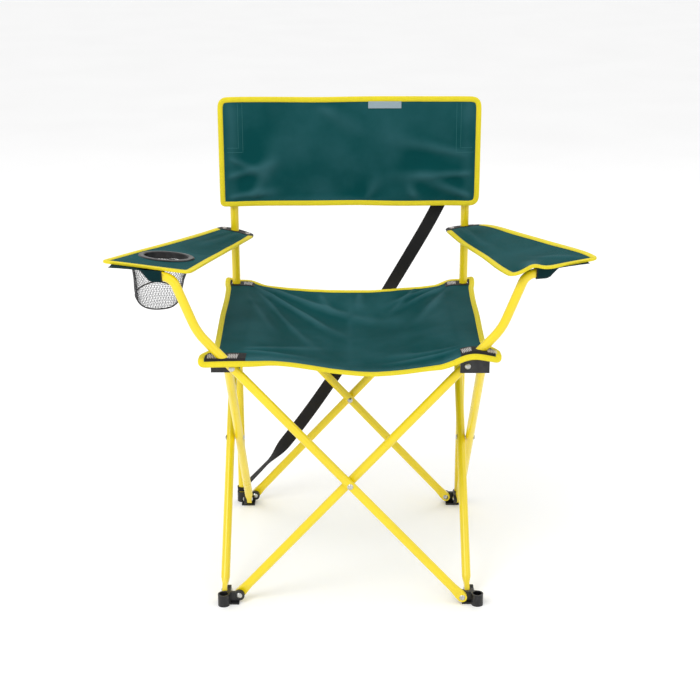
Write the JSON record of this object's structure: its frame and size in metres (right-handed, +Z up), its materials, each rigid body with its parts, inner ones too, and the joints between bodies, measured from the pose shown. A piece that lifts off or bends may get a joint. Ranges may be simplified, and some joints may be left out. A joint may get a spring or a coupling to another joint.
{
  "type": "folding camp chair",
  "caption": "Folding sling chair with scissor legs, back panel, fabric arm rests, a mesh cup holder and a carrying strap.",
  "frame": {"origin": "on the ground, midway between the four feet, chair open", "axes": "+X to the right seen from the front, +Y to the back rest, +Z up"},
  "size_m": [0.8134, 0.4861, 0.846],
  "materials": {
    "frame_paint": "gloss",
    "black_plastic": "satin",
    "rivet": "satin",
    "cloth": "woven",
    "binding": "woven",
    "webbing": "woven",
    "net": "open mesh",
    "tag": "plain"
  },
  "bodies": {
    "rear_left_foot": {"foot_rear_left": "black_plastic", "foot_rivets_rear_left": "rivet", "back_post_left": "frame_paint", "post_cap_left": "black_plastic", "strap_loop": "webbing", "strap": "webbing"},
    "rear_outer_leg": {"leg_rear_outer": "frame_paint", "cross_rivet_rear": "rivet"},
    "rear_inner_leg": {"leg_rear_inner": "frame_paint"},
    "rear_right_foot": {"foot_rear_right": "black_plastic", "foot_rivets_rear_right": "rivet", "back_post_right": "frame_paint", "post_cap_right": "black_plastic"},
    "right_slider": {"slider_right": "black_plastic", "slider_rivets_right": "rivet", "seat_edge_right": "cloth"},
    "left_slider": {"slider_left": "black_plastic", "slider_rivets_left": "rivet", "seat_edge_left": "cloth"},
    "right_outer_leg": {"leg_right_outer": "frame_paint", "cross_rivet_right": "rivet"},
    "right_inner_leg": {"leg_right_inner": "frame_paint"},
    "left_inner_leg": {"leg_left_inner": "frame_paint"},
    "left_outer_leg": {"leg_left_outer": "frame_paint", "cross_rivet_left": "rivet"},
    "left_bracket": {"bracket_left": "black_plastic", "bracket_rivets_left": "rivet"},
    "front_left_foot": {"foot_front_left": "black_plastic", "foot_rivets_front_left": "rivet"},
    "front_inner_leg": {"leg_front_inner": "frame_paint", "arm_cap_right": "black_plastic"},
    "right_bracket": {"bracket_right": "black_plastic", "bracket_rivets_right": "rivet"},
    "front_outer_leg": {"leg_front_outer": "frame_paint", "cross_rivet_front": "rivet", "arm_cap_left": "black_plastic"},
    "front_right_foot": {"foot_front_right": "black_plastic", "foot_rivets_front_right": "rivet"},
    "left_arm": {"arm_left": "cloth", "arm_flap_left": "cloth", "cup_ring": "black_plastic", "cup_net": "net"},
    "right_arm": {"arm_right": "cloth", "arm_flap_right": "cloth"},
    "seat_left": {"seat_left": "cloth"},
    "seat_right": {"seat_right": "cloth"},
    "panel_left": {"panel_left": "cloth", "panel_pocket_left": "cloth"},
    "panel_right": {"panel_right": "cloth", "panel_pocket_right": "cloth"}
  },
  "joints": [
    {"name": "fold", "type": "hinge", "parent": "rear_left_foot", "child": "rear_outer_leg", "pos_m": [-0.2, 0.2273, 0.015], "axis": [0, -1, 0], "range_deg": [0, 36.6], "deforming": ["seat_left", "seat_right", "seat_edge_left", "seat_edge_right", "panel_left", "panel_right", "panel_pocket_left", "panel_pocket_right", "arm_left", "arm_right", "arm_flap_left", "arm_flap_right", "cup_net", "strap"]},
    {"name": "rear_cross", "type": "hinge", "parent": "rear_outer_leg", "child": "rear_inner_leg", "pos_m": [0, 0.219, 0.2325], "axis": [0, 1, 0], "range_deg": [0, 73.22]},
    {"name": "rear_right_pin", "type": "hinge", "parent": "rear_inner_leg", "child": "rear_right_foot", "pos_m": [0.2, 0.2107, 0.015], "axis": [0, -1, 0], "range_deg": [0, 36.62]},
    {"name": "right_slider_pin", "type": "hinge", "parent": "rear_outer_leg", "child": "right_slider", "pos_m": [0.2, 0.2273, 0.45], "axis": [0, 1, 0], "range_deg": [0, 36.62]},
    {"name": "left_slider_pin", "type": "hinge", "parent": "rear_inner_leg", "child": "left_slider", "pos_m": [-0.2, 0.2107, 0.45], "axis": [0, -1, 0], "range_deg": [0, 36.62]},
    {"name": "right_outer_pin", "type": "hinge", "parent": "rear_right_foot", "child": "right_outer_leg", "pos_m": [0.2273, 0.2, 0.015], "axis": [-1, 0, 0], "range_deg": [0, 36.62]},
    {"name": "right_cross", "type": "hinge", "parent": "right_outer_leg", "child": "right_inner_leg", "pos_m": [0.219, 0, 0.2325], "axis": [1, 0, 0], "range_deg": [0, 73.22]},
    {"name": "left_inner_pin", "type": "hinge", "parent": "rear_left_foot", "child": "left_inner_leg", "pos_m": [-0.2107, 0.2, 0.015], "axis": [-1, 0, 0], "range_deg": [0, 36.62]},
    {"name": "left_cross", "type": "hinge", "parent": "left_inner_leg", "child": "left_outer_leg", "pos_m": [-0.219, 0, 0.2325], "axis": [1, 0, 0], "range_deg": [0, 73.22]},
    {"name": "left_bracket_pin", "type": "hinge", "parent": "left_inner_leg", "child": "left_bracket", "pos_m": [-0.2107, -0.2, 0.45], "axis": [1, 0, 0], "range_deg": [0, 36.62]},
    {"name": "front_left_pin", "type": "hinge", "parent": "left_outer_leg", "child": "front_left_foot", "pos_m": [-0.2273, -0.2, 0.015], "axis": [-1, 0, 0], "range_deg": [0, 36.62]},
    {"name": "front_inner_pin", "type": "hinge", "parent": "front_left_foot", "child": "front_inner_leg", "pos_m": [-0.2, -0.2107, 0.015], "axis": [0, -1, 0], "range_deg": [0, 36.62]},
    {"name": "right_bracket_pin", "type": "hinge", "parent": "front_inner_leg", "child": "right_bracket", "pos_m": [0.2, -0.2107, 0.45], "axis": [0, 1, 0], "range_deg": [0, 36.62]},
    {"name": "front_cross", "type": "hinge", "parent": "front_inner_leg", "child": "front_outer_leg", "pos_m": [0, -0.219, 0.2325], "axis": [0, 1, 0], "range_deg": [0, 73.22]},
    {"name": "front_right_pin", "type": "hinge", "parent": "front_outer_leg", "child": "front_right_foot", "pos_m": [0.2, -0.2273, 0.015], "axis": [0, -1, 0], "range_deg": [0, 36.62]},
    {"name": "left_arm_turn", "type": "hinge", "parent": "front_outer_leg", "child": "left_arm", "pos_m": [-0.33, -0.2273, 0.6095], "axis": [-0.9953, 0, 0.0968], "range_deg": [0, 42.62]},
    {"name": "right_arm_turn", "type": "hinge", "parent": "front_inner_leg", "child": "right_arm", "pos_m": [0.33, -0.2107, 0.6095], "axis": [-0.9953, 0, -0.0968], "range_deg": [0, 42.62]},
    {"name": "seat_left_fold", "type": "hinge", "parent": "left_slider", "child": "seat_left", "pos_m": [-0.188, 0, 0.467], "axis": [0, 1, 0], "range_deg": [0, 73.81]},
    {"name": "seat_right_fold", "type": "hinge", "parent": "right_slider", "child": "seat_right", "pos_m": [0.188, 0, 0.467], "axis": [0, -1, 0], "range_deg": [0, 73.81]},
    {"name": "panel_left_turn", "type": "hinge", "parent": "rear_left_foot", "child": "panel_left", "pos_m": [-0.2273, 0.2273, 0.74], "axis": [0, 0, 1], "range_deg": [0, 78.56]},
    {"name": "panel_fold", "type": "hinge", "parent": "panel_left", "child": "panel_right", "pos_m": [0, 0.214, 0.74], "axis": [0, 0, -1], "range_deg": [0, 157.11]}
  ],
  "couplings": [
    {"joint": "rear_cross", "follows": "fold", "ratio": 2},
    {"joint": "rear_right_pin", "follows": "fold", "ratio": 1},
    {"joint": "right_slider_pin", "follows": "fold", "ratio": 1},
    {"joint": "left_slider_pin", "follows": "fold", "ratio": 1},
    {"joint": "right_outer_pin", "follows": "fold", "ratio": 1},
    {"joint": "right_cross", "follows": "fold", "ratio": 2},
    {"joint": "left_inner_pin", "follows": "fold", "ratio": 1},
    {"joint": "left_cross", "follows": "fold", "ratio": 2},
    {"joint": "left_bracket_pin", "follows": "fold", "ratio": 1},
    {"joint": "front_left_pin", "follows": "fold", "ratio": 1},
    {"joint": "front_inner_pin", "follows": "fold", "ratio": 1},
    {"joint": "right_bracket_pin", "follows": "fold", "ratio": 1},
    {"joint": "front_cross", "follows": "fold", "ratio": 2},
    {"joint": "front_right_pin", "follows": "fold", "ratio": 1},
    {"joint": "left_arm_turn", "follows": "fold", "ratio": 1.1639},
    {"joint": "right_arm_turn", "follows": "fold", "ratio": 1.1639},
    {"joint": "seat_left_fold", "follows": "fold", "ratio": 2.016},
    {"joint": "seat_right_fold", "follows": "fold", "ratio": 2.016},
    {"joint": "panel_left_turn", "follows": "fold", "ratio": 2.146},
    {"joint": "panel_fold", "follows": "fold", "ratio": 4.292}
  ]
}
